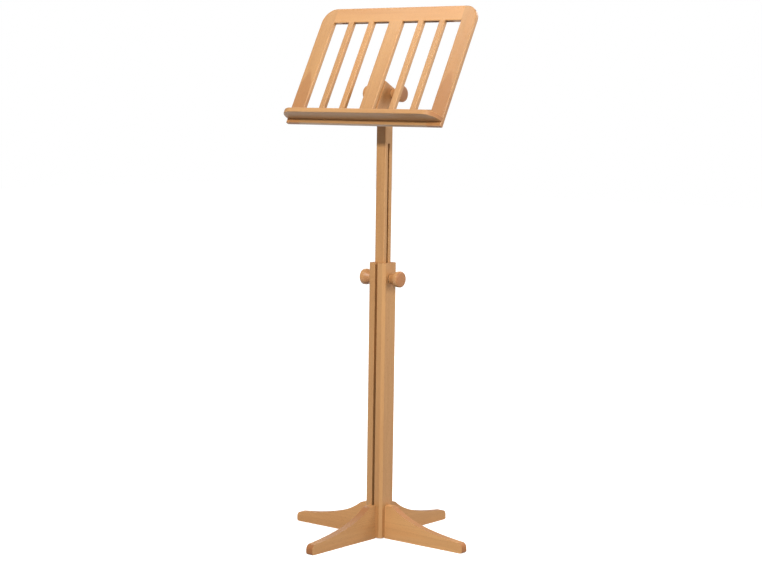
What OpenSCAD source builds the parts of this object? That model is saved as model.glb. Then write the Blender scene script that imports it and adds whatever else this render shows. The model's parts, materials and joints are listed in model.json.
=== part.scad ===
// Wooden music stand: a slatted desk on a square post that slides in a slotted
// square column on four shaped legs. Wooden knobs clamp its height and its tilt.
// Millimetres, +Z up. The origin is on the floor under the column's middle.
// The musician stands on the -Y side, and the desk is as wide as X runs.

/* [Desk] */
// Width of the desk
desk_w = 495; // [400:5:620]
// Height of the desk, measured along its slope
desk_h = 332; // [270:2:410]
// Thickness of the desk's boards
board_t = 12; // [10:0.5:16]
// Height of the top rail
top_rail_h = 41; // [34:1:52]
// Height of the bottom rail
bottom_rail_h = 44; // [36:1:54]
// Width of each side stile
stile_w = 43; // [34:1:52]
// Width of each slat
slat_w = 17; // [14:1:22]
// Radius of the two upper corners of the desk
corner_r = 40; // [5:1:50]
// Lean of the desk from upright, in degrees
desk_tilt = 27.5; // [0:0.5:60]

/* [Ledge] */
// Depth of the ledge in front of the desk
ledge_d = 40; // [32:1:60]
// Thickness of the ledge
ledge_t = 12; // [10:0.5:16]
// Strip of the desk that shows below the ledge
ledge_up = 11; // [4:1:18]
// Radius of the ledge's two front corners, seen from above
ledge_r = 36; // [5:1:48]

/* [Tilt bracket] */
// Thickness of each ear
ear_t = 9.5; // [8:0.5:14]
// Part of each ear's thickness that is glued to the centre stile
ear_seat = 6.8; // [5.5:0.1:7]
// Distance of the pivot behind the back of the desk
pivot_back = 39; // [32:1:50]
// Distance of the pivot above the lower edge of the desk, along its slope
pivot_up = 112; // [95:1:140]
// Radius of the ears round the pivot
ear_r = 15.5; // [13:0.5:19]
// Length of each ear below the pivot
ear_drop = 85; // [70:1:102]
// Depth of each ear at its lower end
ear_foot = 16; // [12:1:19]

/* [Post] */
// Width of the square sliding post
post_w = 29; // [23:0.2:34]
// Length of the post with its rounded top
post_l = 736; // [610:2:890]
// Small chamfer on the long edges of the post
post_edge = 1.5; // [0.5:0.1:3]
// Distance from the pivot down to the upper end of the long slot
slot_top_drop = 124; // [100:1:150]
// Solid wood left below the long slot
slot_foot = 35; // [28:1:45]

/* [Column] */
// Outer width of the square column
col_w = 53; // [44:0.5:64]
// Length of the column
col_h = 705; // [580:5:850]
// Height of the column's lower end above the floor
col_lift = 2; // [1:0.5:4]
// Chamfer on the long corners of the column
col_chamfer = 6.3; // [3:0.1:8]
// Width of the slots between the two halves of the column
col_slot = 7.8; // [7:0.1:10]
// Height of the block that joins the two halves at the bottom
core_h = 66; // [62:1:70]
// Distance of the height bolt below the top of the column
bolt_drop = 40; // [32:1:48]
// Height of the pivot above the top of the column as the stand is set
pivot_rise = 425; // [340:5:520]

/* [Legs] */
// Reach of each leg from the middle of the column
leg_reach = 272; // [224:1:330]
// Thickness of each leg
leg_t = 20; // [16:0.5:25]
// Height of each leg at the column
leg_h = 85; // [68:1:100]
// Length of the level shoulder of each leg
shoulder_l = 25; // [20:1:32]
// Distance of the hollow curve's control point from the column
curve_l = 84; // [65:1:105]
// Height of the hollow curve's control point
curve_h = 40; // [31:1:46]
// Height of each leg at its tip
tip_h = 26; // [20:0.5:30]
// Radius of the upper corner at the tip
tip_r = 13; // [4:0.5:13]
// Radius of the lower corner at the tip
toe_r = 6; // [2:0.5:7]

/* [Knobs] */
// Diameter of a knob's head
knob_d = 41; // [34:0.5:50]
// Length of a knob
knob_l = 34; // [29:0.5:39]
// Diameter of a knob's neck
neck_d = 24; // [20:0.5:29]
// Width of the rim of a knob's head
rim_w = 11; // [6:0.5:13]

/* [Hardware] */
// Diameter of the threaded rods
bolt_d = 6; // [5:0.1:8]
// Diameter of the washers under the knobs
washer_d = 18; // [15:0.5:22]
// Thickness of the washers under the knobs
washer_t = 1.5; // [1:0.1:2]
// Diameter of the dowels that hold the legs
leg_dowel_d = 6; // [5:0.1:7.4]
// Diameter of the dowels that hold the ears
ear_dowel_d = 5; // [4:0.1:5.4]
// Diameter of the ledge's wood screws
screw_d = 4; // [3:0.1:5]

/* [Clearances] */
// Gap between the post and the column on each side
slide_gap = 0.3; // [0.2:0.05:0.6]
// Gap between the post and each ear
ear_gap = 0.3; // [0.2:0.05:0.6]
// Gap between the height rod and the sides of the post's slot
rod_gap = 0.5; // [0.3:0.05:1]
// Gap between a knob and its washer
knob_gap = 0.2; // [0.1:0.05:0.5]
// Radial clearance of a rod in its hole
run_fit = 0.05; // [0.02:0.01:0.1]
// Gap left for glue round a dowel, tenon or screw
glue_gap = 0.05; // [0.02:0.01:0.15]

/* [Hidden] */
$fn = 64;
eps = 1;
beech = [0.80, 0.59, 0.38];
beech_dark = [0.74, 0.51, 0.31];
beech_light = [0.86, 0.67, 0.46];
dowel_wood = [0.88, 0.74, 0.55];
steel = [0.72, 0.73, 0.75];
brass = [0.80, 0.66, 0.36];

// Joinery that doesn't show
tenon_t = 5;
rail_tenon_l = 10;
slat_tenon_l = 8;
rail_shoulder = 6;
slat_shoulder = 2;
dowel_z = [20, 52];
dowel_in = 20;
dowel_out = 16;
ear_dowel_z = [-76, -20];
ear_dowel_in = 8;
ear_dowel_out = 11;
screw_grip = 24;
screw_head_r = 4;
screw_head_h = 2.4;
screw_tip = 4;
screw_point_r = 0.5;
screw_shares = [-3 / 8, -1 / 8, 1 / 8, 3 / 8];

// The inside of a knob
insert_r = 4.5;
insert_l = 14;
flange_r = 6.5;
flange_t = 1;
rod_in_knob = 19;
rod_end_gap = 2;
neck_l = 5;
neck_edge = 1;
rim_round = 4.5;
curve_steps = 14;

// Places that several parts share
desk_half = desk_w / 2;
ear_in = post_w / 2 + ear_gap;
ear_out = ear_in + ear_t;
centre_w = 2 * (ear_in + ear_seat);
window_w = (desk_w - 2 * stile_w - centre_w - 4 * slat_w) / 6;
window_h = desk_h - top_rail_h - bottom_rail_h;
rail_half = desk_half - stile_w;
top_corner_r = min(corner_r, stile_w, top_rail_h);
front_corner_r = min(ledge_r, ledge_d);
col_half = col_w / 2;
col_top = col_lift + col_h;
cavity_w = post_w + 2 * slide_gap;
pivot_z = col_top + pivot_rise;
post_bottom = pivot_z + post_w / 2 - post_l;
slot_r = bolt_d / 2 + rod_gap;
bolt_z = col_top - bolt_drop;

// ---- curves ----

// Points of a curve from a to c that bends towards b
function bend(a, b, c, n = curve_steps) = [
    for (i = [0 : n])
        let (t = i / n)
        (1 - t) * (1 - t) * a + 2 * t * (1 - t) * b + t * t * c
];

// Points of an arc round a centre
function arc(centre, r, from, to, n = curve_steps) = [
    for (i = [0 : n])
        let (a = from + (to - from) * i / n)
        centre + r * [cos(a), sin(a)]
];

// ---- placing ----

// Puts a shape drawn round the pivot, with the desk upright, where the desk leans
module at_pivot()
    translate([0, 0, pivot_z])
        rotate([-desk_tilt, 0, 0])
            children();

// Desk coordinates: X across, Y from the front face back, Z up the desk from its lower edge
module on_desk()
    at_pivot()
        translate([0, -(pivot_back + board_t), -pivot_up])
            children();

// Stands a flat outline drawn in X and Z up as a board of the desk
module desk_board()
    translate([0, board_t, 0])
        rotate([90, 0, 0])
            linear_extrude(board_t)
                children();

// Turns a shape drawn along +Z to run outwards along X, from distance x on one side
module outward(side, x)
    translate([side * x, 0, 0])
        rotate([0, side * 90, 0])
            children();

// A round bar along X
module x_bar(r, from, to)
    translate([from, 0, 0])
        rotate([0, 90, 0])
            cylinder(r = r, h = to - from);

// A tenon in the middle of a board's thickness, or with grow its mortise
module tenon(x, z, w, h, grow = 0)
    translate([x - grow, (board_t - tenon_t) / 2 - grow, z - grow])
        cube([w + 2 * grow, tenon_t + 2 * grow, h + 2 * grow]);

// ---- desk ----

// The tenons at the two ends of a rail
module rail_tenons(z, h, grow = 0)
    for (x = [-rail_half - rail_tenon_l, rail_half])
        tenon(x, z + rail_shoulder, rail_tenon_l, h - 2 * rail_shoulder, grow);

// The tenons at the two ends of an upright between the rails
module upright_tenons(x, w, inset, grow = 0)
    for (z = [bottom_rail_h - slat_tenon_l, desk_h - top_rail_h])
        tenon(x - w / 2 + inset, z, w - 2 * inset, slat_tenon_l, grow);

// The middle of a slat, counted from the left
function slat_x(i) =
    let (side = i < 3 ? -1 : 1)
    let (n = i == 1 || i == 4 ? 2 : 1)
    side * (centre_w / 2 + n * window_w + (n - 0.5) * slat_w);

module all_upright_tenons(grow) {
    upright_tenons(0, centre_w, rail_shoulder, grow);
    for (i = [1 : 4])
        upright_tenons(slat_x(i), slat_w, slat_shoulder, grow);
}

module stile(side)
    color(beech)
        on_desk()
            difference() {
                mirror([side > 0 ? 1 : 0, 0, 0])
                    translate([-desk_half, 0, 0])
                        desk_board()
                            difference() {
                                square([stile_w, desk_h]);
                                translate([0, desk_h - top_corner_r])
                                    difference() {
                                        translate([-eps, 0])
                                            square([top_corner_r + eps, top_corner_r + eps]);
                                        translate([top_corner_r, 0])
                                            circle(top_corner_r);
                                    }
                            }
                rail_tenons(0, bottom_rail_h, glue_gap);
                rail_tenons(desk_h - top_rail_h, top_rail_h, glue_gap);
            }

module rail(z, h)
    difference() {
        union() {
            translate([-rail_half, 0, z])
                cube([2 * rail_half, board_t, h]);
            rail_tenons(z, h);
        }
        all_upright_tenons(glue_gap);
    }

module top_rail()
    color(beech_light)
        on_desk()
            rail(desk_h - top_rail_h, top_rail_h);

module bottom_rail()
    color(beech)
        on_desk()
            difference() {
                rail(0, bottom_rail_h);
                screws(glue_gap);
                desk_ear_dowels(glue_gap);
            }

module upright(x, w, inset) {
    translate([x - w / 2, 0, bottom_rail_h])
        cube([w, board_t, window_h]);
    upright_tenons(x, w, inset);
}

module centre_stile()
    color(beech)
        on_desk()
            difference() {
                upright(0, centre_w, rail_shoulder);
                desk_ear_dowels(glue_gap);
            }

module slat(i)
    color(beech_light)
        on_desk()
            upright(slat_x(i), slat_w, slat_shoulder);

// ---- ledge ----

module ledge_outline() {
    flat_half = desk_half - front_corner_r;
    translate([-flat_half, -ledge_d])
        square([2 * flat_half, ledge_d]);
    translate([-desk_half, -(ledge_d - front_corner_r)])
        square([desk_w, ledge_d - front_corner_r]);
    intersection() {
        for (side = [-1, 1])
            translate([side * flat_half, -(ledge_d - front_corner_r)])
                circle(front_corner_r);
        translate([-desk_half, -ledge_d])
            square([desk_w, ledge_d]);
    }
}

module ledge()
    color(beech)
        on_desk()
            difference() {
                translate([0, 0, ledge_up])
                    linear_extrude(ledge_t)
                        ledge_outline();
                screws(glue_gap);
            }

// One countersunk wood screw along -Y, its head flush with the back of the desk
module screw(grow = 0)
    translate([0, board_t, 0])
        rotate([90, 0, 0]) {
            translate([0, 0, -grow])
                cylinder(r1 = screw_head_r + grow, r2 = screw_d / 2 + grow, h = screw_head_h);
            cylinder(r = screw_d / 2 + grow, h = board_t + screw_grip - screw_tip);
            translate([0, 0, board_t + screw_grip - screw_tip])
                cylinder(r1 = screw_d / 2 + grow, r2 = screw_point_r, h = screw_tip + grow);
        }

module screws(grow = 0)
    for (share = screw_shares)
        translate([share * desk_w, 0, ledge_up + ledge_t / 2])
            screw(grow);

module ledge_screws()
    color(steel)
        on_desk()
            screws();

// ---- tilt bracket ----

// Side view of an ear round the pivot: its round end runs straight down to its foot
function ear_outline() =
    let (heel = [ear_foot - pivot_back, -ear_drop])
    let (leave = atan2(heel.y, heel.x) + acos(ear_r / norm(heel)))
    concat(
        [[-pivot_back, -ear_drop], heel],
        arc([0, 0], ear_r, leave, 90),
        [[-pivot_back, ear_r]]
    );

// The dowels between the ears and the desk, drawn round the pivot
module ear_dowel_set(grow = 0)
    for (side = [-1, 1], z = ear_dowel_z)
        translate([side * (ear_in + ear_seat / 2), -pivot_back - ear_dowel_in, z])
            rotate([-90, 0, 0])
                translate([0, 0, -grow])
                    cylinder(r = ear_dowel_d / 2 + grow, h = ear_dowel_in + ear_dowel_out + 2 * grow);

// The same dowels in desk coordinates
module desk_ear_dowels(grow)
    translate([0, pivot_back + board_t, pivot_up])
        ear_dowel_set(grow);

module ear(side)
    color(beech_dark)
        at_pivot()
            difference() {
                translate([side > 0 ? ear_in : -ear_out, 0, 0])
                    rotate([90, 0, 90])
                        linear_extrude(ear_t)
                            polygon(ear_outline());
                x_bar(bolt_d / 2 + run_fit, -ear_out - eps, ear_out + eps);
                ear_dowel_set(glue_gap);
            }

module ear_dowels()
    color(dowel_wood)
        at_pivot()
            ear_dowel_set();

// ---- rods, washers and knobs ----

// A threaded rod that ends inside a knob on each side
module rod(seat)
    x_bar(bolt_d / 2, -rod_end(seat), rod_end(seat));

function knob_seat(seat) = seat + washer_t + knob_gap;
function rod_end(seat) = knob_seat(seat) + rod_in_knob;

module washers(seat)
    for (side = [-1, 1])
        outward(side, seat)
            difference() {
                cylinder(d = washer_d, h = washer_t);
                translate([0, 0, -eps])
                    cylinder(r = bolt_d / 2 + run_fit, h = washer_t + 2 * eps);
            }

// Half of a turned knob's outline, from its seat to its end face
function knob_outline() =
    let (head_r = knob_d / 2)
    let (neck_r = neck_d / 2)
    let (flare_l = knob_l - rim_w - neck_l)
    concat(
        [[0, 0], [neck_r - neck_edge, 0], [neck_r, neck_edge]],
        [
            for (i = [0 : curve_steps])
                let (t = i / curve_steps)
                [neck_r + (head_r - neck_r) * (1 - cos(90 * t * t + 90 * t)) / 2, neck_l + flare_l * t]
        ],
        arc([head_r - rim_round, knob_l - rim_round], rim_round, 0, 90, 6),
        [[0, knob_l]]
    );

module knob()
    difference() {
        rotate_extrude()
            polygon(knob_outline());
        translate([0, 0, -eps])
            cylinder(r = flange_r + glue_gap, h = flange_t + eps);
        translate([0, 0, -eps])
            cylinder(r = insert_r + glue_gap, h = insert_l + eps);
        translate([0, 0, -eps])
            cylinder(r = bolt_d / 2 + rod_gap, h = rod_in_knob + rod_end_gap + eps);
    }

module insert()
    difference() {
        union() {
            cylinder(r = flange_r, h = flange_t);
            cylinder(r = insert_r, h = insert_l);
        }
        translate([0, 0, -eps])
            cylinder(r = bolt_d / 2 + run_fit, h = insert_l + 2 * eps);
    }

// Puts a knob or its insert on the height rod
module at_height_rod(side)
    translate([0, 0, bolt_z])
        outward(side, knob_seat(col_half))
            children();

// Puts a knob or its insert on the tilt rod
module at_tilt_rod(side)
    at_pivot()
        outward(side, knob_seat(ear_out))
            children();

module height_knob(side)
    color(beech_dark)
        at_height_rod(side)
            knob();

module height_insert(side)
    color(brass)
        at_height_rod(side)
            insert();

module tilt_knob(side)
    color(beech_dark)
        at_tilt_rod(side)
            knob();

module tilt_insert(side)
    color(brass)
        at_tilt_rod(side)
            insert();

module tilt_rod()
    color(steel)
        at_pivot()
            rod(ear_out);

module tilt_washers()
    color(steel)
        at_pivot()
            washers(ear_out);

module height_rod()
    color(steel)
        translate([0, 0, bolt_z])
            rod(col_half);

module height_washers()
    color(steel)
        translate([0, 0, bolt_z])
            washers(col_half);

// ---- post ----

module square_with_chamfers(w, chamfer) {
    half = w / 2;
    cut = half - chamfer;
    polygon([
        [-half, -cut], [-cut, -half], [cut, -half], [half, -cut],
        [half, cut], [cut, half], [-cut, half], [-half, cut]
    ]);
}

module post() {
    slot_low = post_bottom + slot_foot + slot_r;
    slot_high = pivot_z - slot_top_drop - slot_r;
    color(beech)
        difference() {
            intersection() {
                translate([0, 0, post_bottom])
                    linear_extrude(post_l)
                        square_with_chamfers(post_w, post_edge);
                union() {
                    translate([-post_w, -post_w / 2, post_bottom])
                        cube([2 * post_w, post_w, pivot_z - post_bottom]);
                    translate([0, 0, pivot_z])
                        x_bar(post_w / 2, -post_w, post_w);
                }
            }
            translate([0, 0, pivot_z])
                x_bar(bolt_d / 2 + run_fit, -post_w, post_w);
            translate([-post_w, -slot_r, slot_low])
                cube([2 * post_w, 2 * slot_r, slot_high - slot_low]);
            for (z = [slot_low, slot_high])
                translate([0, 0, z])
                    x_bar(slot_r, -post_w, post_w);
        }
}

// ---- column and legs ----

// The dowels of one leg, drawn for the leg that points along +X
module leg_dowel_pair(grow = 0)
    for (z = dowel_z)
        translate([0, 0, z])
            x_bar(leg_dowel_d / 2 + grow, col_half - dowel_in - grow, col_half + dowel_out + grow);

module leg_dowel_set(grow = 0)
    for (turn = [0, 90, 180, 270])
        rotate([0, 0, turn])
            leg_dowel_pair(grow);

module leg_dowels()
    color(dowel_wood)
        leg_dowel_set();

module column_half(side)
    color(beech)
        difference() {
            translate([0, 0, col_lift])
                linear_extrude(col_h)
                    difference() {
                        square_with_chamfers(col_w, col_chamfer);
                        square(cavity_w, center = true);
                        translate([side > 0 ? -col_w : -col_slot / 2, -col_w])
                            square([col_w + col_slot / 2, 2 * col_w]);
                    }
            translate([0, 0, bolt_z])
                x_bar(bolt_d / 2 + run_fit, -col_w, col_w);
            leg_dowel_set(glue_gap);
        }

module column_core()
    color(beech_dark)
        difference() {
            translate([0, 0, col_lift])
                linear_extrude(core_h) {
                    square(cavity_w, center = true);
                    square([col_slot, col_w], center = true);
                }
            leg_dowel_set(glue_gap);
        }

// Side view of a leg: distance from the column's axis, and height
function leg_outline() =
    let (corner = [col_half + shoulder_l, leg_h])
    let (control = [col_half + curve_l, curve_h])
    let (ease = shoulder_l / 3)
    let (start = corner + ease * (control - corner) / norm(control - corner))
    concat(
        [[col_half, 0]],
        arc([leg_reach - toe_r, toe_r], toe_r, -90, 0, 6),
        arc([leg_reach - tip_r, tip_h - tip_r], tip_r, 0, 84, 8),
        bend([leg_reach - tip_r, tip_h], control, start),
        bend(start, corner, corner - [ease, 0], 6),
        [[col_half, leg_h]]
    );

module leg(turn)
    color(beech)
        rotate([0, 0, turn])
            difference() {
                rotate([90, 0, 0])
                    linear_extrude(leg_t, center = true)
                        polygon(leg_outline());
                leg_dowel_pair(glue_gap);
            }

column_half(-1);  // column_left
column_half(1);  // column_right
column_core();
leg(270);  // leg_front
leg(90);  // leg_back
leg(180);  // leg_left
leg(0);  // leg_right
leg_dowels();
height_rod();
height_washers();
post();
stile(-1);  // left_stile
stile(1);  // right_stile
top_rail();
bottom_rail();
centre_stile();
slat(1);  // slat_1
slat(2);  // slat_2
slat(3);  // slat_3
slat(4);  // slat_4
ledge();
ledge_screws();
ear(-1);  // ear_left
ear(1);  // ear_right
ear_dowels();
tilt_rod();
tilt_washers();
height_knob(-1);  // height_knob_left
height_insert(-1);  // height_insert_left
height_knob(1);  // height_knob_right
height_insert(1);  // height_insert_right
tilt_knob(-1);  // tilt_knob_left
tilt_insert(-1);  // tilt_insert_left
tilt_knob(1);  // tilt_knob_right
tilt_insert(1);  // tilt_insert_right
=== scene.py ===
"""Looks of a wooden music stand: a slatted desk that tilts on a sliding post, a slotted
column on four shaped legs, and turned knobs. Metres, +Z up, the musician stands at -Y."""

import json
import math
import random

import bmesh
import bpy
from mathutils import Matrix, Vector


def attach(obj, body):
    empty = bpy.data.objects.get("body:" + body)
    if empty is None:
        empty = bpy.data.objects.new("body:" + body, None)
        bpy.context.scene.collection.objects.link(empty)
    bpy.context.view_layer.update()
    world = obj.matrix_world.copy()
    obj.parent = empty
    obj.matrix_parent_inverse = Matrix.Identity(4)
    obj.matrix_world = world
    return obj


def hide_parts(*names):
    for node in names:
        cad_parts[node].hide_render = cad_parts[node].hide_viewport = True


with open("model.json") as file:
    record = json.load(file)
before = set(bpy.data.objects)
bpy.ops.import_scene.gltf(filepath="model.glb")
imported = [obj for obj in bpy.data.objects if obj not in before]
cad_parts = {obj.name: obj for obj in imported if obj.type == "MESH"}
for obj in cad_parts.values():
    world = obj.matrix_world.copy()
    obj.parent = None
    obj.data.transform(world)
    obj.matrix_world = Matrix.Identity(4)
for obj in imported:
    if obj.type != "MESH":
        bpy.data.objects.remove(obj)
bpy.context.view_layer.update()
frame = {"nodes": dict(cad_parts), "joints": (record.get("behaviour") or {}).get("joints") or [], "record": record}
record = frame["record"]

MM = 0.001
X, Y, Z = Vector((1, 0, 0)), Vector((0, 1, 0)), Vector((0, 0, 1))

# How near a line a point has to be to lie on it, in a test, in a cut, and to join another
LEVEL = 0.05 * MM
ON_CUT = 0.01 * MM
WELD = 0.001 * MM
# Faces that meet at more than these degrees make an edge to round, and one that stays crisp
SHARP_ANGLE = 30
CRISP_ANGLE = 40

# ---------------------------------------------------------------- places in the frame

joints = {joint["name"]: joint for joint in frame["joints"]}
mounts = {mount["name"]: mount for mount in record["mounts"]}
pivot = Vector(joints["desk_tilt"]["pos_m"])
clamp = Vector((0, 0, joints["height_knob_right_turn"]["pos_m"][2]))
desk_out = Vector(mounts["desk_face"]["axis"])
lean = math.atan2(desk_out.z, -desk_out.y)

# The stand's own coordinates, and the desk's: X across, Y towards its back, Z up its
# slope, measured from the pivot
STAND = Matrix.Identity(4)
DESK = Matrix.Translation(pivot) @ Matrix.Rotation(-lean, 4, "X")


def reach(node, place=STAND):
    """Lowest and highest corner of a CAD node in the coordinates of a place."""
    back = place.inverted()
    points = [back @ vertex.co for vertex in frame["nodes"][node].data.vertices]
    low = Vector([min(point[i] for point in points) for i in range(3)])
    high = Vector([max(point[i] for point in points) for i in range(3)])
    return low, high


# ---------------------------------------------------------------- mesh tools


def everything(bm):
    return bm.verts[:] + bm.edges[:] + bm.faces[:]


def ring_through(bm, points):
    """A closed ring of edges through points."""
    verts = [bm.verts.new(point) for point in points]
    return [bm.edges.new(pair) for pair in zip(verts, verts[1:] + verts[:1])]


def circle_points(centre, radius, steps=32):
    """Points of a circle that faces along X."""
    turns = [2 * math.pi * i / steps for i in range(steps)]
    return [centre + radius * (math.cos(t) * Y + math.sin(t) * Z) for t in turns]


def arc(centre, radius, start, stop, steps=10):
    """Points of an arc as pairs, from start to stop in degrees."""
    angles = [math.radians(start + (stop - start) * i / steps) for i in range(steps + 1)]
    return [(centre[0] + radius * math.cos(a), centre[1] + radius * math.sin(a)) for a in angles]


def bend(start, pull, stop, steps=24):
    """Points as pairs along a curve that leaves start towards pull and comes to stop from it."""
    ways = [i / steps for i in range(steps + 1)]
    return [
        tuple((1 - t) ** 2 * a + 2 * t * (1 - t) * b + t * t * c for a, b, c in zip(start, pull, stop))
        for t in ways
    ]


def pull_out(bm, travel):
    """Gives the faces drawn so far a thickness along travel and closes the solid."""
    grown = bmesh.ops.extrude_face_region(bm, geom=bm.faces[:])["geom"]
    moved = [g for g in grown if isinstance(g, bmesh.types.BMVert)]
    bmesh.ops.translate(bm, vec=travel, verts=moved)
    bmesh.ops.recalc_face_normals(bm, faces=bm.faces[:])


def plate(rings, travel):
    """A solid between a flat sheet and its copy at travel. The rings after the first are holes."""
    bm = bmesh.new()
    edges = [edge for ring in rings for edge in ring_through(bm, ring)]
    bmesh.ops.triangle_fill(bm, edges=edges, use_beauty=True)
    pull_out(bm, travel)
    return bm


def ease(bm, edges, radius, steps=3):
    """Rounds edges over."""
    bmesh.ops.bevel(
        bm,
        geom=edges,
        offset=radius,
        segments=steps,
        profile=0.5,
        affect="EDGES",
        material=-1,
        clamp_overlap=True,
    )


def sharp_edges(bm, test=lambda edge: True):
    """The edges where two faces meet sharply, and that pass a test."""
    limit = math.radians(SHARP_ANGLE)
    return [e for e in bm.edges if len(e.link_faces) == 2 and e.calc_face_angle() > limit and test(e)]


def runs_along(edge, axis):
    way = (edge.verts[0].co - edge.verts[1].co).normalized()
    return abs(way.dot(axis)) > 0.999


def lies_at(edge, axis, distance):
    """Whether both ends of an edge are at a distance along an axis."""
    return all(abs(vert.co.dot(axis) - distance) < LEVEL for vert in edge.verts)


def lies_between(edge, low, high):
    """Whether both ends of an edge are between two heights."""
    return all(low <= vert.co.z <= high for vert in edge.verts)


def saw_off(bm, point, outward):
    """Cuts away what lies beyond a plane and closes the cut."""
    bmesh.ops.bisect_plane(
        bm,
        geom=everything(bm),
        dist=ON_CUT,
        plane_co=point,
        plane_no=outward,
        clear_outer=True,
    )
    rim = [edge for edge in bm.edges if edge.is_boundary]
    bmesh.ops.holes_fill(bm, edges=rim, sides=0)


def spin_profile(profile, steps=64):
    """Turns a chain of (distance along X, radius) pairs round the X axis into a closed solid."""
    bm = bmesh.new()
    chain = [bm.verts.new((along, 0, radius)) for along, radius in profile]
    edges = [bm.edges.new(pair) for pair in zip(chain, chain[1:])]
    bmesh.ops.spin(
        bm,
        geom=chain + edges,
        cent=(0, 0, 0),
        axis=X,
        angle=2 * math.pi,
        steps=steps,
        use_merge=True,
    )
    bmesh.ops.remove_doubles(bm, verts=bm.verts[:], dist=WELD)
    bmesh.ops.recalc_face_normals(bm, faces=bm.faces[:])
    return bm


def together(parts):
    """Joins several meshes in the making into one."""
    whole = bmesh.new()
    for part in parts:
        mesh = bpy.data.meshes.new("part")
        part.to_mesh(mesh)
        part.free()
        whole.from_mesh(mesh)
        bpy.data.meshes.remove(mesh)
    return whole


# ---------------------------------------------------------------- finishing a piece

# How light each board is beside the others, at the start of its length and at the end: partly the wood's own tone
# and partly painted light, with a painted sheen rising towards the top of the uprights and on the top rail,
# painted shade under the ledge on the bottom rail, and painted light raising the legs' tones
BOARD_TONES_AND_PAINTED_LIGHT = {
    "top_rail": (1.18, 1.18),
    "left_stile": (0.94, 1.05),
    "right_stile": (0.90, 1.02),
    "bottom_rail": (0.76, 0.76),
    "centre_stile": (0.94, 1.10),
    "slat_1": (0.92, 1.06),
    "slat_2": (0.96, 1.12),
    "slat_3": (0.94, 1.10),
    "slat_4": (0.90, 1.04),
    "ledge": (0.96, 0.95),
    "post": (0.96, 0.96),
    "column_left": (0.93, 0.93),
    "column_right": (0.96, 0.97),
    "leg_front": (1.04, 1.02),
    "leg_right": (1.20, 1.20),
    "leg_left": (1.18, 1.16),
    "leg_back": (1.04, 1.02),
}
PLAIN_TONE = (1.0, 1.0)
# Boards whose lower part shows a dark pointed figure, where the saw left the rings at a slant
FIGURED_BOARDS = ("left_stile", "right_stile")
# Where a board may lie in its log, in millimetres: beside the heart, out from it and along it
LOG_SPREAD = ((-25, 25), (45, 110), (0, 900))
# How soon a face that turns away from a board's flat sides counts as its rounded edge
ROUNDING_GAIN = 5


def log_place(name, place, along, through):
    """Maps the stand's coordinates to those of the log that a board was cut from: across and through the board,
    and along its grain, with the log's heart at a chance distance."""
    chance = random.Random(name)
    across = through.cross(along)
    turn = Matrix((across, through, along)).to_4x4()
    heart = Vector([chance.uniform(*span) for span in LOG_SPREAD]) * MM
    return Matrix.Translation(heart) @ turn @ place.inverted()


def add_wood_data(mesh, name, log, flat_sided):
    """Stores what the wood finish reads: the place in the log, the board's tone with painted light and shade along
    it, the place on the board for its figure, how far a surface cuts across the grain, and where an edge is
    rounded, which the finish paints with a highlight."""
    board = name.removesuffix("_wood")
    back = log.to_3x3().inverted()
    across, through, along = ((back @ axis).normalized() for axis in (X, Y, Z))
    lengths = [vertex.co.dot(along) for vertex in mesh.vertices]
    widths = [vertex.co.dot(across) for vertex in mesh.vertices]
    start, span = min(lengths), max(lengths) - min(lengths)
    middle, width = (max(widths) + min(widths)) / 2, max(widths) - min(widths)
    grain = mesh.attributes.new("grain", "FLOAT_VECTOR", "POINT")
    for vertex, item in zip(mesh.vertices, grain.data):
        item.vector = log @ vertex.co
    # Painted light and shade as well as the board's own tone, in a straight ramp along the board's length
    tone_and_painted_light = mesh.attributes.new("tone_and_painted_light", "FLOAT", "POINT")
    first, last = BOARD_TONES_AND_PAINTED_LIGHT.get(board, PLAIN_TONE)
    for length, item in zip(lengths, tone_and_painted_light.data):
        item.value = first + (last - first) * (length - start) / span
    figured = 1 if board in FIGURED_BOARDS else 0
    figure = mesh.attributes.new("figure", "FLOAT_VECTOR", "POINT")
    for length, aside, item in zip(lengths, widths, figure.data):
        item.vector = ((aside - middle) / width, (length - start) / span, figured)
    end = mesh.attributes.new("end", "FLOAT", "CORNER")
    edge = mesh.attributes.new("edge", "FLOAT", "CORNER")
    for face in mesh.polygons:
        facing = abs(face.normal.dot(through))
        rounding = min(1, ROUNDING_GAIN * min(facing, 1 - facing))
        for corner in face.loop_indices:
            normal = face.normal
            if not flat_sided:
                normal = mesh.vertices[mesh.loops[corner].vertex_index].normal
            end.data[corner].value = abs(normal.dot(along))
            edge.data[corner].value = rounding if flat_sided else 0


def piece(name, bm, body, finish, replaced, place=STAND, log=None, flat_sided=True):
    """Makes a finished piece from a mesh drawn in a place's coordinates."""
    bmesh.ops.transform(bm, matrix=place, verts=bm.verts[:])
    bmesh.ops.recalc_face_normals(bm, faces=bm.faces[:])
    mesh = bpy.data.meshes.new(name)
    bm.to_mesh(mesh)
    bm.free()
    mesh.shade_smooth()
    mesh.set_sharp_from_angle(angle=math.radians(CRISP_ANGLE))
    if log is not None:
        add_wood_data(mesh, name, log, flat_sided)
    mesh.materials.append(finish)
    made = bpy.data.objects.new(name, mesh)
    bpy.context.scene.collection.objects.link(made)
    shading = made.modifiers.new("flat faces stay flat", "WEIGHTED_NORMAL")
    shading.keep_sharp = True
    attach(made, body)
    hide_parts(*replaced)
    return made


# ---------------------------------------------------------------- finishes


# Sockets of a Mix node that mixes colours, by their places
MIX_SHARE, MIX_FIRST, MIX_SECOND, MIX_RESULT = 0, 6, 7, 2


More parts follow.
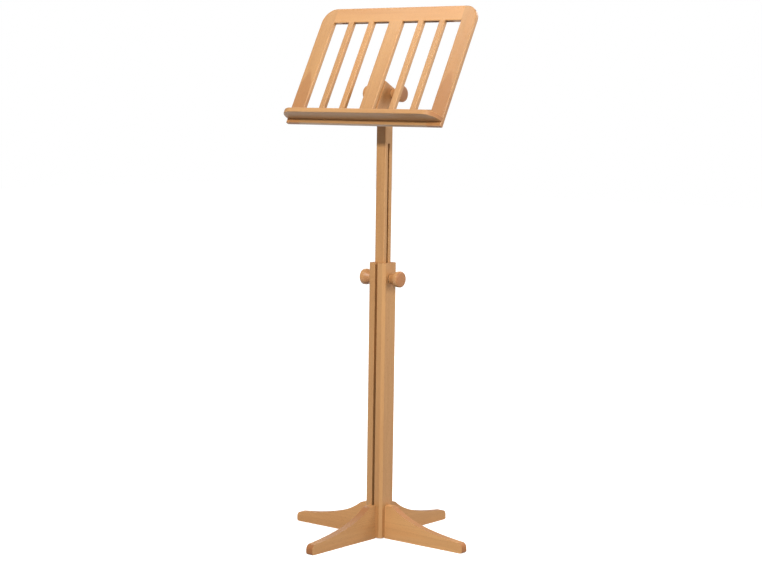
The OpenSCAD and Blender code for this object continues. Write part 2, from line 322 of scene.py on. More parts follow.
class Term:
    """One output of a finish's nodes. Sums written with it add Math nodes."""

    def __init__(self, finish, socket):
        self.finish = finish
        self.socket = socket

    def sum(self, operation, *values):
        return self.finish.node("ShaderNodeMath", {"operation": operation}, dict(enumerate(values)))

    def __add__(self, other):
        return self.sum("ADD", self, other)

    def __sub__(self, other):
        return self.sum("SUBTRACT", self, other)

    def __rsub__(self, other):
        return self.sum("SUBTRACT", other, self)

    def __mul__(self, other):
        return self.sum("MULTIPLY", self, other)

    def __truediv__(self, other):
        return self.sum("DIVIDE", self, other)

    def __pow__(self, other):
        return self.sum("POWER", self, other)

    __radd__ = __add__
    __rmul__ = __mul__


class Finish:
    """A material built from nodes, on the piece's own stored data or Object coordinates."""

    def __init__(self, name):
        self.material = bpy.data.materials.new(name)
        self.material.use_nodes = True
        self.tree = self.material.node_tree
        self.shader = self.tree.nodes["Principled BSDF"]

    def node(self, kind, settings=None, inputs=None, output=0):
        made = self.tree.nodes.new(kind)
        for name, value in (settings or {}).items():
            setattr(made, name, value)
        for name, value in (inputs or {}).items():
            self.feed(made.inputs[name], value)
        return Term(self, made.outputs[output])

    def feed(self, socket, value):
        if isinstance(value, Term):
            self.tree.links.new(value.socket, socket)
        else:
            socket.default_value = value

    def surface(self, **inputs):
        """Feeds the shader's own sockets, named with underscores for spaces."""
        for name, value in inputs.items():
            self.feed(self.shader.inputs[name.replace("_", " ")], value)
        return self.material

    def stored(self, name, output="Fac"):
        return self.node("ShaderNodeAttribute", {"attribute_name": name}, output=output)

    def part(self, vector, axis):
        """One of the three numbers of a vector."""
        return self.node("ShaderNodeSeparateXYZ", None, {0: vector}, axis)

    def noise(self, vector, scale, detail, rough, output="Fac"):
        """Soft noise that repeats by a scale along each axis."""
        spread = self.node("ShaderNodeVectorMath", {"operation": "MULTIPLY"}, {0: vector, 1: scale})
        inputs = {"Vector": spread, "Scale": 1.0, "Detail": detail, "Roughness": rough}
        return self.node("ShaderNodeTexNoise", None, inputs, output)

    def between(self, value, low, high):
        """Runs smoothly from 0 to 1 as a value goes from low to high."""
        settings = {"interpolation_type": "SMOOTHSTEP"}
        inputs = {"Value": value, "From Min": low, "From Max": high}
        return self.node("ShaderNodeMapRange", settings, inputs)

    def mixed(self, first, second, share):
        """Two colours mixed by a share of the second."""
        inputs = {MIX_SHARE: share, MIX_FIRST: first, MIX_SECOND: second}
        for place in (MIX_FIRST, MIX_SECOND):
            if not isinstance(inputs[place], Term):
                inputs[place] = (*inputs[place], 1)
        return self.node("ShaderNodeMix", {"data_type": "RGBA"}, inputs, MIX_RESULT)

    def bump(self, height, distance, strength):
        inputs = {"Height": height, "Distance": distance, "Strength": strength}
        return self.node("ShaderNodeBump", None, inputs, "Normal")


# Steamed beech under a satin lacquer, where it is palest and deepest
PALE, DEEP = (0.535, 0.284, 0.106), (0.445, 0.213, 0.072)
FLAME, FLAME_SHARE = (0.58, 0.27, 0.085), 0.35
RED_BEECH = (0.60, 0.26, 0.12)

# How each part of the grain tints the deep beech, and how much of it shows
RING_TINT, RING_SHARE = (0.72, 0.72, 0.72), 0.34
POINT_TINT, POINT_SHARE = (0.90, 0.80, 0.74), 0.72
FLECK_TINT, FLECK_SHARE = (0.50, 0.40, 0.30), 0.42
PORE_TINT, PORE_SHARE = (0.86, 0.86, 0.86), 0.22
END_TINT, END_SHARE = (0.72, 0.52, 0.42), 0.68
# How the painted shade on gently sloping tops tints the deep beech
TOP_SHADE_TINT = (0.58, 0.51, 0.42)
# Painted highlight along rounded edges: how much it lightens the pale beech everywhere, and how much more in noisy
# patches
EDGE_HIGHLIGHT_TINT, EDGE_HIGHLIGHT_SHARE, EDGE_HIGHLIGHT_PATCH_SHARE = (1.16, 1.16, 1.16), 0.22, 0.28

# How often each part of the grain repeats in a metre, across, through and along the log
RING_GRAIN = (5, 5, 1.1)
BROAD_GRAIN = (16, 16, 2.2)
# Patches that vary the painted edge highlight and the gloss
HIGHLIGHT_AND_GLOSS_PATCH_GRAIN = (22, 22, 14)
FLAME_GRAIN = (30, 30, 4)
POINT_GRAIN = (90, 90, 9)
STREAK_GRAIN = (160, 160, 5)
PEEL_GRAIN = (420, 420, 300)
FLECK_GRAIN = (1500, 1500, 190)
PORE_GRAIN = (3600, 3600, 320)

RING_WIDTH = 3.1 * MM
RING_WANDER = 18 * MM
LATE_WOOD = 4
FAINT_RING = 0.35
POINT_START, POINT_STOP = 0.46, 0.52
POINT_ARCH = 0.75
POINT_RAGGED = 0.10
GRAIN_DEPTH = 0.06 * MM


def tinted(colour, tint):
    """A colour times one number for each of red, green and blue."""
    return tuple(part * by for part, by in zip(colour, tint))


def growth_rings(f, log):
    """Dark late wood of the year rings round the log's heart, from 0 to 1."""
    wander = f.noise(log, RING_GRAIN, 3, 0.5, "Color")
    inputs = {0: wander, 1: (RING_WANDER,) * 3, 2: log}
    moved = f.node("ShaderNodeVectorMath", {"operation": "MULTIPLY_ADD"}, inputs)
    across, through = f.part(moved, "X"), f.part(moved, "Y")
    years = ((across * across + through * through) ** 0.5) / RING_WIDTH
    year = f.node("ShaderNodeMath", {"operation": "FLOOR"}, {0: years})
    season = years - year
    strength = f.node("ShaderNodeTexWhiteNoise", {"noise_dimensions": "1D"}, {"W": year}, "Value")
    return season**LATE_WOOD * (FAINT_RING + (1 - FAINT_RING) * strength)


def pointed_figure(f, log):
    """The slanting rings' dark point on the lower part of a figured board, from 0 to 1."""
    spot = f.stored("figure", "Vector")
    aside, height, figured = (f.part(spot, axis) for axis in "XYZ")
    ragged = f.noise(log, POINT_GRAIN, 2, 0.5)
    front = height + POINT_ARCH * aside * aside + POINT_RAGGED * ragged
    return (1 - f.between(front, POINT_START, POINT_STOP)) * figured


def lacquered_beech(name, redness=0.0, gloss=0.42, coat=0.12, top_shade=0.0):
    """Steamed beech in a satin lacquer, with rings, ray flecks and pores. Curves that slope a little across the
    grain, such as the legs' tops, get a painted shade, by a share given per finish; their rounded edges get less
    of it."""
    f = Finish(name)
    log = f.stored("grain", "Vector")
    rounded, across_grain = f.stored("edge"), f.stored("end")
    end = f.between(across_grain, 0.12, 0.80)
    rings = growth_rings(f, log)
    broad = f.noise(log, BROAD_GRAIN, 3, 0.55)
    streaks = f.noise(log, STREAK_GRAIN, 3, 0.6)
    flame = f.between(f.noise(log, FLAME_GRAIN, 2, 0.5), 0.50, 0.72)
    fleck = f.between(f.noise(log, FLECK_GRAIN, 1, 0.5), 0.60, 0.72)
    pores = f.noise(log, PORE_GRAIN, 2, 0.6)
    highlight_and_gloss_patches = f.noise(log, HIGHLIGHT_AND_GLOSS_PATCH_GRAIN, 2, 0.5)
    peel = f.noise(log, PEEL_GRAIN, 1, 0.5)
    wood = f.mixed(PALE, DEEP, f.between(broad * 0.75 + streaks * 0.25, 0.28, 0.74))
    wood = f.mixed(wood, FLAME, flame * FLAME_SHARE)
    wood = f.mixed(wood, tinted(DEEP, POINT_TINT), pointed_figure(f, log) * POINT_SHARE)
    wood = f.mixed(wood, tinted(DEEP, RING_TINT), rings * RING_SHARE)
    # Painted shade on surfaces that slope a little across the grain, the legs' tops most, kept lighter on rounded
    # edges
    if top_shade:
        curve = f.between(across_grain, 0.02, 0.16) * (1 - 0.6 * rounded)
        wood = f.mixed(wood, tinted(DEEP, TOP_SHADE_TINT), curve * top_shade)
    wood = f.mixed(wood, tinted(DEEP, FLECK_TINT), fleck * FLECK_SHARE)
    wood = f.mixed(wood, tinted(DEEP, PORE_TINT), f.between(pores, 0.52, 0.75) * PORE_SHARE)
    wood = f.mixed(wood, tinted(DEEP, END_TINT), end * END_SHARE)
    # Painted highlight along the rounded edges, stronger in patches
    edge_highlight = rounded * (EDGE_HIGHLIGHT_SHARE + EDGE_HIGHLIGHT_PATCH_SHARE * highlight_and_gloss_patches)
    wood = f.mixed(wood, tinted(PALE, EDGE_HIGHLIGHT_TINT), edge_highlight)
    if redness:
        wood = f.mixed(wood, RED_BEECH, redness)
    # The stored tone scales the wood's colour; part of it is painted light and shade
    toned = {"Color": wood, "Value": f.stored("tone_and_painted_light")}
    relief = 1 - rings * 0.35 - fleck * 0.5 - f.between(pores, 0.5, 0.8) * 0.35 + peel * 0.25
    return f.surface(
        Base_Color=f.node("ShaderNodeHueSaturation", None, toned, "Color"),
        Roughness=gloss + 0.07 * highlight_and_gloss_patches + 0.10 * fleck + 0.05 * pores + 0.10 * end,
        Coat_Weight=coat - 0.5 * coat * end,
        Coat_Roughness=0.26,
        Specular_IOR_Level=0.4,
        Normal=f.bump(relief, GRAIN_DEPTH, 0.55),
    )


BARE_PALE, BARE_DEEP = (0.55, 0.36, 0.20), (0.42, 0.25, 0.13)
BARE_FLECK, BARE_FLECK_SHARE = (0.24, 0.12, 0.06), 0.4
BARE_STREAK_GRAIN = (240, 240, 30)
BARE_FLECK_GRAIN = (1500, 1500, 260)
BARE_DEPTH = 0.05 * MM


def bare_beech(name):
    """Unfinished beech of the core block and the dowels, on Object coordinates."""
    f = Finish(name)
    spot = f.node("ShaderNodeTexCoord", output="Object")
    streaks = f.noise(spot, BARE_STREAK_GRAIN, 3, 0.6)
    fleck = f.between(f.noise(spot, BARE_FLECK_GRAIN, 1, 0.5), 0.6, 0.72)
    wood = f.mixed(BARE_PALE, BARE_DEEP, streaks)
    return f.surface(
        Base_Color=f.mixed(wood, BARE_FLECK, fleck * BARE_FLECK_SHARE),
        Roughness=0.62 + 0.1 * streaks,
        Normal=f.bump(streaks - fleck, BARE_DEPTH, 0.5),
    )


ZINC, BRASS = (0.62, 0.63, 0.66), (0.66, 0.48, 0.20)
TURNING_MARKS = (4000, 700, 700)
TARNISH = (120, 120, 120)
TARNISH_TINT, TARNISH_SHARE = (0.72, 0.72, 0.72), 0.6
MARK_DEPTH = 0.02 * MM
THREAD_PITCH = 1 * MM
THREAD_DEPTH = 0.3 * MM


def bright_metal(name, colour, rough, threaded=False):
    """Plated steel or brass with turning marks or a thread."""
    f = Finish(name)
    spot = f.node("ShaderNodeTexCoord", output="Object")
    marks = f.noise(spot, TURNING_MARKS, 2, 0.6)
    stains = f.noise(spot, TARNISH, 3, 0.55)
    stained = f.between(stains, 0.45, 0.8) * TARNISH_SHARE
    relief, depth = marks, MARK_DEPTH
    if threaded:
        turns = f.part(spot, "X") * (2 * math.pi / THREAD_PITCH)
        relief = f.node("ShaderNodeMath", {"operation": "SINE"}, {0: turns}) + marks * 0.2
        depth = THREAD_DEPTH
    return f.surface(
        Base_Color=f.mixed(colour, tinted(colour, TARNISH_TINT), stained),
        Metallic=1.0,
        Roughness=rough + 0.14 * stains,
        Normal=f.bump(relief, depth, 0.6),
    )


desk_finish = lacquered_beech("beech of the desk", redness=0.02, gloss=0.38, coat=0.30)
ledge_finish = lacquered_beech("beech of the ledge", redness=0.04)
post_finish = lacquered_beech("beech of the post", gloss=0.44, coat=0.07)
column_finish = lacquered_beech("beech of the column", redness=0.02, gloss=0.44, coat=0.07)
# The legs get painted shade on their sloping tops
leg_finish = lacquered_beech("beech of the legs", redness=0.05, gloss=0.52, coat=0.03, top_shade=0.78)
bracket_finish = lacquered_beech("beech of the bracket", redness=0.08)
knob_finish = lacquered_beech("beech of the knobs", redness=0.10, gloss=0.38)
core_finish = bare_beech("bare beech")
rod_finish = bright_metal("zinc plated thread", ZINC, 0.30, threaded=True)
plated_finish = bright_metal("zinc plated steel", ZINC, 0.26)
brass_finish = bright_metal("turned brass", BRASS, 0.28)


# ---------------------------------------------------------------- desk

UPRIGHTS = ["left_stile", "slat_1", "slat_2", "centre_stile", "slat_3", "slat_4", "right_stile"]
DESK_CORNER = 40 * MM
DESK_EDGE = 2.2 * MM

spans = [reach(name, DESK) for name in UPRIGHTS]
sill = reach("bottom_rail", DESK)[1].z
head = reach("top_rail", DESK)[0].z
desk_low, desk_high = spans[0][0], spans[-1][1]
rail_ends = (spans[0][1].x, spans[-1][0].x)
windows = [(left[1].x, right[0].x) for left, right in zip(spans, spans[1:])]


def in_window(face):
    middle = face.calc_center_median()
    return sill < middle.z < head and any(low < middle.x < high for low, high in windows)


def desk_blank():
    """The whole desk as one board, its windows cut and its edges rounded over."""
    bm = bmesh.new()
    sheet = [
        (desk_low.x, desk_low.y, desk_low.z),
        (desk_high.x, desk_low.y, desk_low.z),
        (desk_high.x, desk_low.y, desk_high.z),
        (desk_low.x, desk_low.y, desk_high.z),
    ]
    bm.faces.new([bm.verts.new(corner) for corner in sheet])
    lines = [(Vector((x, 0, 0)), X) for window in windows for x in window]
    lines += [(Vector((0, 0, z)), Z) for z in (sill, head)]
    for point, across in lines:
        bmesh.ops.bisect_plane(bm, geom=everything(bm), plane_co=point, plane_no=across)
    bmesh.ops.delete(bm, geom=[face for face in bm.faces if in_window(face)], context="FACES")
    pull_out(bm, (desk_high.y - desk_low.y) * Y)
    corners = sharp_edges(bm, lambda e: runs_along(e, Y) and lies_at(e, Z, desk_high.z))
    ease(bm, corners, DESK_CORNER, 14)
    faces_y = (desk_low.y, desk_high.y)
    rims = sharp_edges(bm, lambda e: any(lies_at(e, Y, y) for y in faces_y))
    ease(bm, rims, DESK_EDGE, 4)
    return bm


def desk_board(name, blank, cuts, along):
    """One board of the desk, cut from the blank at pairs of a point and a direction."""
    bm = blank.copy()
    for point, outward in cuts:
        saw_off(bm, point, outward)
    log = log_place(name, DESK, along, Y)
    return piece(name + "_wood", bm, "desk", desk_finish, [name], DESK, log)


def make_desk():
    blank = desk_blank()
    left, right = Vector((rail_ends[0], 0, 0)), Vector((rail_ends[1], 0, 0))
    low_joint, high_joint = Vector((0, 0, sill)), Vector((0, 0, head))
    desk_board("left_stile", blank, [(left, X)], Z)
    desk_board("right_stile", blank, [(right, -X)], Z)
    desk_board("top_rail", blank, [(left, -X), (right, X), (high_joint, -Z)], X)
    desk_board("bottom_rail", blank, [(left, -X), (right, X), (low_joint, Z)], X)
    gaps = [(low + high) / 2 for low, high in windows]
    for name, before, after in zip(UPRIGHTS[1:-1], gaps, gaps[1:]):
        sides = [(Vector((before, 0, 0)), -X), (Vector((after, 0, 0)), X)]
        desk_board(name, blank, [*sides, (low_joint, -Z), (high_joint, Z)], Z)
    blank.free()


# ---------------------------------------------------------------- ledge

LEDGE_CORNER = 36 * MM
LEDGE_EDGE = 1.8 * MM


def make_ledge():
    low, high = reach("ledge", DESK)
    bm = bmesh.new()
    verts = bmesh.ops.create_cube(bm, size=1)["verts"]
    bmesh.ops.scale(bm, vec=high - low, verts=verts)
    bmesh.ops.translate(bm, vec=(low + high) / 2, verts=verts)
    ease(bm, sharp_edges(bm, lambda e: lies_at(e, Y, low.y) and runs_along(e, Z)), LEDGE_CORNER, 14)
    shown = sharp_edges(bm, lambda e: not lies_at(e, Y, high.y))
    ease(bm, shown, LEDGE_EDGE, 4)
    log = log_place("ledge", DESK, X, Z)
    piece("ledge_wood", bm, "desk", ledge_finish, ["ledge"], DESK, log)


# ---------------------------------------------------------------- tilt bracket

EAR_FOOT = 16 * MM
EAR_EDGE = 1.4 * MM
EAR_GRAIN_SLOPE = 0.28
ROD_RADIUS = (reach("tilt_rod", DESK)[1].z - reach("tilt_rod", DESK)[0].z) / 2
BORE_RADIUS = ROD_RADIUS + 0.05 * MM


def ear_outline(x, low, high):
    """Side view of an ear: a round end about the pivot that runs down to a foot on the desk."""
    heel = (low.y + EAR_FOOT, low.z)
    far = math.hypot(*heel)
    leave = math.degrees(math.atan2(heel[1], heel[0]) + math.acos(high.z / far))
    flat = [(low.y, low.z), heel, *arc((0, 0), high.z, leave, 90, 20), (low.y, high.z)]
    return [Vector((x, y, z)) for y, z in flat]


def make_ears():
    for name in ("ear_left", "ear_right"):
        low, high = reach(name, DESK)
        rings = [ear_outline(low.x, low, high), circle_points(low.x * X, BORE_RADIUS)]
        bm = plate(rings, (high.x - low.x) * X)
        sides = (low.x, high.x)
        rims = sharp_edges(bm, lambda e: any(lies_at(e, X, x) for x in sides))
        rims = [e for e in rims if not lies_at(e, Y, low.y)]
        rims = [e for e in rims if max(v.co.yz.length for v in e.verts) > 2 * BORE_RADIUS]
        ease(bm, rims, EAR_EDGE, 3)
        log = log_place(name, DESK, (Z + EAR_GRAIN_SLOPE * Y).normalized(), X)
        piece(name + "_wood", bm, "desk", bracket_finish, [name], DESK, log)


# ---------------------------------------------------------------- post

POST_EDGE = 1.6 * MM
POST_SLOT_RADIUS = 3.5 * MM
POST_SLOT_DROP = 124 * MM
POST_SLOT_FOOT = 35 * MM
POST_SLOT_EDGE = 0.7 * MM
# How far past a rounding's own radius a point may lie and still belong to it
NEARLY = 1.01


def make_post():
    low, high = reach("post")
    half = high.x
    slot_low = low.z + POST_SLOT_FOOT + POST_SLOT_RADIUS
    slot_high = pivot.z - POST_SLOT_DROP - POST_SLOT_RADIUS
    outside = [(-half, low.z), (half, low.z), *arc((0, pivot.z), half, 0, 180, 28)]
    slot = [
        *arc((0, slot_high), POST_SLOT_RADIUS, 0, 180, 12),
        *arc((0, slot_low), POST_SLOT_RADIUS, 180, 360, 12),
    ]
    rings = [[Vector((low.x, y, z)) for y, z in ring] for ring in (outside, slot)]
    rings.append(circle_points(Vector((low.x, 0, pivot.z)), BORE_RADIUS))
    bm = plate(rings, (high.x - low.x) * X)

    def on_side(edge):
        return lies_at(edge, X, low.x) or lies_at(edge, X, high.x)

    def round_slot(edge):
        near = NEARLY * POST_SLOT_RADIUS
        beside = all(abs(v.co.y) < near for v in edge.verts)
        return beside and lies_between(edge, slot_low - near, slot_high + near)

    def round_bore(edge):
        return all((v.co - pivot).yz.length < NEARLY * BORE_RADIUS for v in edge.verts)

    outer = sharp_edges(bm, lambda e: on_side(e) and not round_slot(e) and not round_bore(e))
    ease(bm, outer, POST_EDGE, 3)
    ease(bm, sharp_edges(bm, lambda e: on_side(e) and round_slot(e)), POST_SLOT_EDGE, 2)
    log = log_place("post", STAND, Z, Y)
    piece("post_wood", bm, "post", post_finish, ["post"], STAND, log)


# ---------------------------------------------------------------- column

COLUMN_CHAMFER = 6.3 * MM
COLUMN_SLOT = 3.9 * MM
COLUMN_EDGE = 0.9 * MM
# Edges that lie further out than this share of the room inside are on the column's outside
OUTER_SHARE = 1.5


def make_column():
    for name, turn in (("column_right", 0), ("column_left", math.pi)):
        low, high = reach("column_right")
        out, cut = high.x, high.x - COLUMN_CHAMFER
        room = reach("column_core")[1].x
        half = [
            (COLUMN_SLOT, -out),
            (cut, -out),
            (out, -cut),
            (out, cut),
            (cut, out),
            (COLUMN_SLOT, out),
            (COLUMN_SLOT, room),
            (room, room),
            (room, -room),
            (COLUMN_SLOT, -room),
        ]
        bm = plate([[Vector((x, y, low.z)) for x, y in half]], (high.z - low.z) * Z)
        upright = sharp_edges(bm, lambda e: runs_along(e, Z))
        outer = [e for e in upright if max(v.co.xy.length for v in e.verts) > room * OUTER_SHARE]
        mouths = [e for e in upright if abs(e.verts[0].co.x - COLUMN_SLOT) < ON_CUT]
        ease(bm, list(set(outer + mouths)), COLUMN_EDGE, 3)
        ends = sharp_edges(bm, lambda e: lies_at(e, Z, low.z) or lies_at(e, Z, high.z))
        ease(bm, ends, COLUMN_EDGE, 2)
        about = Matrix.Rotation(turn, 3, "Z")
        bmesh.ops.rotate(bm, cent=(0, 0, 0), matrix=about, verts=bm.verts[:])
        log = log_place(name, STAND, Z, X)
        piece(name + "_wood", bm, "base", column_finish, [name], STAND, log)


# ---------------------------------------------------------------- legs

SHOULDER = 25 * MM
HOLLOW_OUT = 84 * MM
HOLLOW_UP = 40 * MM
TIP_HEIGHT = 26 * MM
TIP_RADIUS = 13 * MM
TIP_END = 84
TOE_RADIUS = 6 * MM
LEG_EDGE = 2.6 * MM


def leg_outline(start, far, top):
    """Side view of a leg as pairs: distance from the column's axis, and height."""
    corner = Vector((start + SHOULDER, top))
    hollow = Vector((start + HOLLOW_OUT, HOLLOW_UP))
    turn = SHOULDER / 3
    leave = corner + turn * (hollow - corner).normalized()
    return [
        (start, 0),
        *arc((far - TOE_RADIUS, TOE_RADIUS), TOE_RADIUS, -90, 0, 6),
        *arc((far - TIP_RADIUS, TIP_HEIGHT - TIP_RADIUS), TIP_RADIUS, 0, TIP_END, 10),
        *bend((far - TIP_RADIUS, TIP_HEIGHT), hollow, leave, 36),
        *bend(leave, corner, corner - Vector((turn, 0)), 8)[1:],
        (start, top),
    ]


def make_legs():
    low, high = reach("leg_right")
    quarters = (("leg_right", 0), ("leg_back", 90), ("leg_left", 180), ("leg_front", 270))
    for name, degrees in quarters:
        points = [Vector((x, low.y, z)) for x, z in leg_outline(low.x, high.x, high.z)]
        bm = plate([points], (high.y - low.y) * Y)
        sides = (low.y, high.y)
        rims = sharp_edges(bm, lambda e: any(lies_at(e, Y, y) for y in sides))
        rims = [e for e in rims if not lies_at(e, X, low.x)]
        ease(bm, rims, LEG_EDGE, 4)
        turn = Matrix.Rotation(math.radians(degrees), 4, "Z")
        log = log_place(name, turn, X, Y)
        piece(name + "_wood", bm, "base", leg_finish, [name], turn, log)


# ---------------------------------------------------------------- knobs, washers and screws

KNOB_NECK = 12.2 * MM
NECK_LENGTH = 2 * MM
NECK_EDGE = 1 * MM
FLARE_STEPS, RIM_STEPS, CROWN_STEPS = 24, 12, 10
# How much of the neck's flare is a plain cone, the rest being an S curve
CONE_SHARE = 0.55
RIM_WIDTH = 11 * MM
RIM_ROUND = 6.5 * MM
RIM_DEPTH = 4 * MM
CROWN = 0.8 * MM
KNOB_BORE_DEPTH = 21 * MM
KNOB_BORE_RADIUS = ROD_RADIUS + 0.5 * MM
INSERT_DEPTH = 14 * MM
INSERT_RADIUS = 4.55 * MM
FLANGE_DEPTH = 1 * MM
FLANGE_RADIUS = 6.55 * MM
WASHER_THICKNESS = 1.5 * MM
WASHER_EDGE = 0.25 * MM

# Each rod's name, the body that its washers ride on, its middle, and the place it lies in
RODS = (("height", "base", clamp, STAND), ("tilt", "desk", Vector(), DESK))


def knob_profile(length, head_radius):
    """A knob's outline: the stepped bore for its insert, a neck that flares to a rounded rim,
    and a slightly crowned end."""
    flare = length - RIM_WIDTH - NECK_LENGTH
    face = head_radius - RIM_ROUND
    bore = [
        (KNOB_BORE_DEPTH, 0),
        (KNOB_BORE_DEPTH, KNOB_BORE_RADIUS),
        (INSERT_DEPTH, KNOB_BORE_RADIUS),
        (INSERT_DEPTH, INSERT_RADIUS),
        (FLANGE_DEPTH, INSERT_RADIUS),
        (FLANGE_DEPTH, FLANGE_RADIUS),
        (0, FLANGE_RADIUS),
    ]
    neck = arc((NECK_EDGE, KNOB_NECK - NECK_EDGE), NECK_EDGE, 180, 90, 4)
    swell = []
    for i in range(FLARE_STEPS + 1):
        t = i / FLARE_STEPS
        rise = CONE_SHARE * t + (1 - CONE_SHARE) * t * t * (3 - 2 * t)
        swell.append((NECK_LENGTH + flare * t, KNOB_NECK + (head_radius - KNOB_NECK) * rise))
    turns = [math.pi / 2 * i / RIM_STEPS for i in range(RIM_STEPS + 1)]
    rim = [
        (length - CROWN - RIM_DEPTH * (1 - math.sin(t)), face + RIM_ROUND * math.cos(t))
        for t in turns
    ]
    shares = [1 - i / CROWN_STEPS for i in range(1, CROWN_STEPS + 1)]
    crown = [(length - CROWN * share**2, face * share) for share in shares]
    return bore + neck + swell + rim + crown


def make_knobs():
    for rod, _, middle, place in RODS:
        for side_name, side in (("left", -1), ("right", 1)):
            name = f"{rod}_knob_{side_name}"
            low, high = reach(name, place)
            seat = min(abs(low.x), abs(high.x))
            bm = spin_profile(knob_profile(high.x - low.x, (high.y - low.y) / 2), 72)
            turn = Matrix.Rotation(0 if side > 0 else math.pi, 4, "Z")
            spot = place @ Matrix.Translation(middle + side * seat * X) @ turn
            log = log_place(name, place, X, Y)
            piece(name + "_wood", bm, name, knob_finish, [name], spot, log, False)


def make_washers():
    for rod, body, middle, place in RODS:
        name = rod + "_washers"
        low, high = reach(name, place)
        radius = (high.y - low.y) / 2
        start, stop = high.x - WASHER_THICKNESS, high.x
        inner, outer = BORE_RADIUS, radius
        ring = [(start, inner), (start, outer), (stop, outer), (stop, inner), (start, inner)]
        pair = []
        for turn in (0, math.pi):
            bm = spin_profile(ring, 48)
            ease(bm, sharp_edges(bm), WASHER_EDGE, 2)
            spot = Matrix.Translation(middle) @ Matrix.Rotation(turn, 4, "Z")
            bmesh.ops.transform(bm, matrix=spot, verts=bm.verts[:])
            pair.append(bm)
        piece(name + "_steel", together(pair), body, plated_finish, [name], place)


# Where the screws stand, as shares of half the desk's width
SCREW_PLACES = (-0.75, -0.25, 0.25, 0.75)
# Edges of a screw's face beyond this share of its radius are its rim
RIM_SHARE = 0.9
SCREW_HEAD = 4 * MM
SCREW_PROUD = 0.2 * MM
SCREW_RECESS = 1.2 * MM
SCREW_CORE = 2 * MM
SCREW_CONE = 3.4 * MM
SCREW_LENGTH = 36 * MM
SCREW_TIP = 4 * MM
CROSS_REACH = 2.4 * MM
CROSS_HALF = 0.55 * MM


def cross_points(along):
    """Points of a cross that faces along X."""
    a, b = CROSS_REACH, CROSS_HALF
    corners = [(a, -b), (a, b), (b, b)]
    points = []
    for quarter in range(4):
        turn = Matrix.Rotation(math.radians(90 * quarter), 2)
        points += [turn @ Vector(corner) for corner in corners]
    return [Vector((along, y, z)) for y, z in points]


def make_screws():
    """Four countersunk screws with a cross recess, their heads at the back of the bottom rail."""
    height = (reach("ledge", DESK)[0].z + reach("ledge", DESK)[1].z) / 2
    face, depth = -SCREW_PROUD, SCREW_RECESS - SCREW_PROUD
    shank = [
        (depth, 0),
        (depth, SCREW_HEAD),
        (SCREW_CONE, SCREW_CORE),
        (SCREW_LENGTH - SCREW_TIP, SCREW_CORE),
        (SCREW_LENGTH, 0),
    ]
    inwards = Matrix.Rotation(-math.pi / 2, 4, "Z")
    screws = []
    for share in SCREW_PLACES:
        head = plate([circle_points(face * X, SCREW_HEAD), cross_points(face)], SCREW_RECESS * X)
        rim = sharp_edges(head, lambda e: lies_at(e, X, face))
        rim = [e for e in rim if e.verts[0].co.yz.length > RIM_SHARE * SCREW_HEAD]
        ease(head, rim, SCREW_PROUD, 2)
        spot = Matrix.Translation((share * desk_high.x, desk_high.y, height))
        for bm in (head, spin_profile(shank, 32)):
            bmesh.ops.transform(bm, matrix=spot @ inwards, verts=bm.verts[:])
            screws.append(bm)
    whole = together(screws)
    piece("ledge_screws_steel", whole, "desk", plated_finish, ["ledge_screws"], DESK)


def paint_cad_nodes():
    """The pieces that hardly show keep their CAD shape and get their finish."""
    finishes = {
        "column_core": core_finish,
        "leg_dowels": core_finish,
        "ear_dowels": core_finish,
        "height_rod": rod_finish,
        "tilt_rod": rod_finish,
    }
    for rod in ("height", "tilt"):
        for side in ("left", "right"):
            finishes[f"{rod}_insert_{side}"] = brass_finish
    for node, finish in finishes.items():
        for slot in frame["nodes"][node].material_slots:
            slot.material = finish


make_desk()
make_ledge()
make_ears()
make_post()
make_column()
make_legs()
make_knobs()
make_washers()
make_screws()
paint_cad_nodes()

# ---------------------------------------------------------------- stage, light and camera

FLOOR_SIZE = 30
FLOOR_NEAR, FLOOR_FAR = 1.5, 6
FLOOR_COLOUR = (0.85, 0.85, 0.845, 1)
NEAR_GLOW, FAR_GLOW = (0.45, 0.45, 0.45), (1, 1, 1)
WHITE = (1, 1, 1, 1)
BACKDROP, FILL = 1.0, 0.27

# The lights face the middle of the stand. Each one's name, its turn, with 0 at the musician's
# side and 90 at the right, and its height above the horizon in degrees, its width, its
# distance and its power
MIDDLE = Vector((0, 0, 0.8))
LIGHTS = (
    ("key", 17, 34, 0.5, 4.5, 195),
    ("sheen softbox", -57, 54, 1.2, 4.2, 23),
    ("right softbox", 80, 22, 1.8, 4.2, 58),
    ("rear right softbox", 130, 20, 1.8, 4.2, 62),
    ("rear left softbox", -130, 25, 1.8, 4.2, 34),
    ("rear softbox", 180, 25, 1.8, 4.2, 50),
)


def floor_finish():
    """A pale matt floor that brightens away from the stand until it meets the backdrop."""
    f = Finish("pale floor")
    spot = f.node("ShaderNodeTexCoord", output="Object")
    away = f.node("ShaderNodeVectorMath", {"operation": "LENGTH"}, {0: spot}, "Value")
    glow = f.mixed(NEAR_GLOW, FAR_GLOW, f.between(away, FLOOR_NEAR, FLOOR_FAR))
    return f.surface(
        Base_Color=FLOOR_COLOUR,
        Roughness=0.9,
        Specular_IOR_Level=0.1,
        Emission_Color=glow,
        Emission_Strength=1.0,
    )


def make_floor():
    bm = bmesh.new()
    bmesh.ops.create_grid(bm, x_segments=1, y_segments=1, size=FLOOR_SIZE / 2)
    mesh = bpy.data.meshes.new("floor")
    bm.to_mesh(mesh)
    bm.free()
    floor = bpy.data.objects.new("floor", mesh)
    mesh.materials.append(floor_finish())
    bpy.context.scene.collection.objects.link(floor)
    floor.visible_diffuse = False


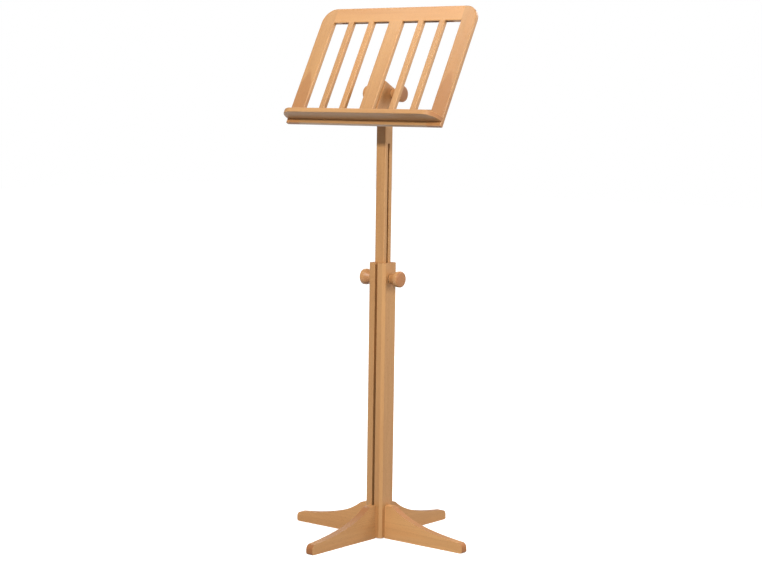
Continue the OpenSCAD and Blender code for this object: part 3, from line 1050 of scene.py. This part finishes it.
def soft_light(name, turn, lift, size, distance, power):
    data = bpy.data.lights.new(name, "AREA")
    data.shape = "DISK"
    data.size, data.energy = size, power
    light = bpy.data.objects.new(name, data)
    a, e = math.radians(turn), math.radians(lift)
    way = Vector((math.sin(a) * math.cos(e), -math.cos(a) * math.cos(e), math.sin(e)))
    light.location = MIDDLE + distance * way
    light.rotation_euler = way.to_track_quat("Z", "Y").to_euler()
    bpy.context.scene.collection.objects.link(light)


def make_studio():
    """A white backdrop that lights the stand less than it shows."""
    world = bpy.data.worlds.new("studio")
    world.use_nodes = True
    tree = world.node_tree
    seen, felt = tree.nodes["Background"], tree.nodes.new("ShaderNodeBackground")
    for background, strength in ((seen, BACKDROP), (felt, FILL)):
        background.inputs["Color"].default_value = WHITE
        background.inputs["Strength"].default_value = strength
    ray = tree.nodes.new("ShaderNodeLightPath")
    choice = tree.nodes.new("ShaderNodeMixShader")
    tree.links.new(ray.outputs["Is Camera Ray"], choice.inputs["Fac"])
    tree.links.new(felt.outputs["Background"], choice.inputs[1])
    tree.links.new(seen.outputs["Background"], choice.inputs[2])
    tree.links.new(choice.outputs["Shader"], tree.nodes["World Output"].inputs["Surface"])
    bpy.context.scene.world = world


# The camera stands at the front right, level with the desk, and looks slightly down
CAMERA_SPOT = (2.896, -3.594, 1.103)
CAMERA_TURN = 38.910
CAMERA_DROP = 5.493
CAMERA_ROLL = 0.827
CAMERA_LENS = 86.30


def make_camera():
    data = bpy.data.cameras.new("camera")
    data.lens = CAMERA_LENS
    camera = bpy.data.objects.new("camera", data)
    camera.location = CAMERA_SPOT
    turn = Matrix.Rotation(math.radians(CAMERA_TURN), 4, "Z")
    drop = Matrix.Rotation(math.radians(90 - CAMERA_DROP), 4, "X")
    roll = Matrix.Rotation(math.radians(CAMERA_ROLL), 4, "Z")
    camera.rotation_euler = (turn @ drop @ roll).to_euler()
    bpy.context.scene.collection.objects.link(camera)
    bpy.context.scene.camera = camera


make_floor()
for light in LIGHTS:
    soft_light(*light)
make_studio()
make_camera()
bpy.context.scene.view_settings.view_transform = "Standard"
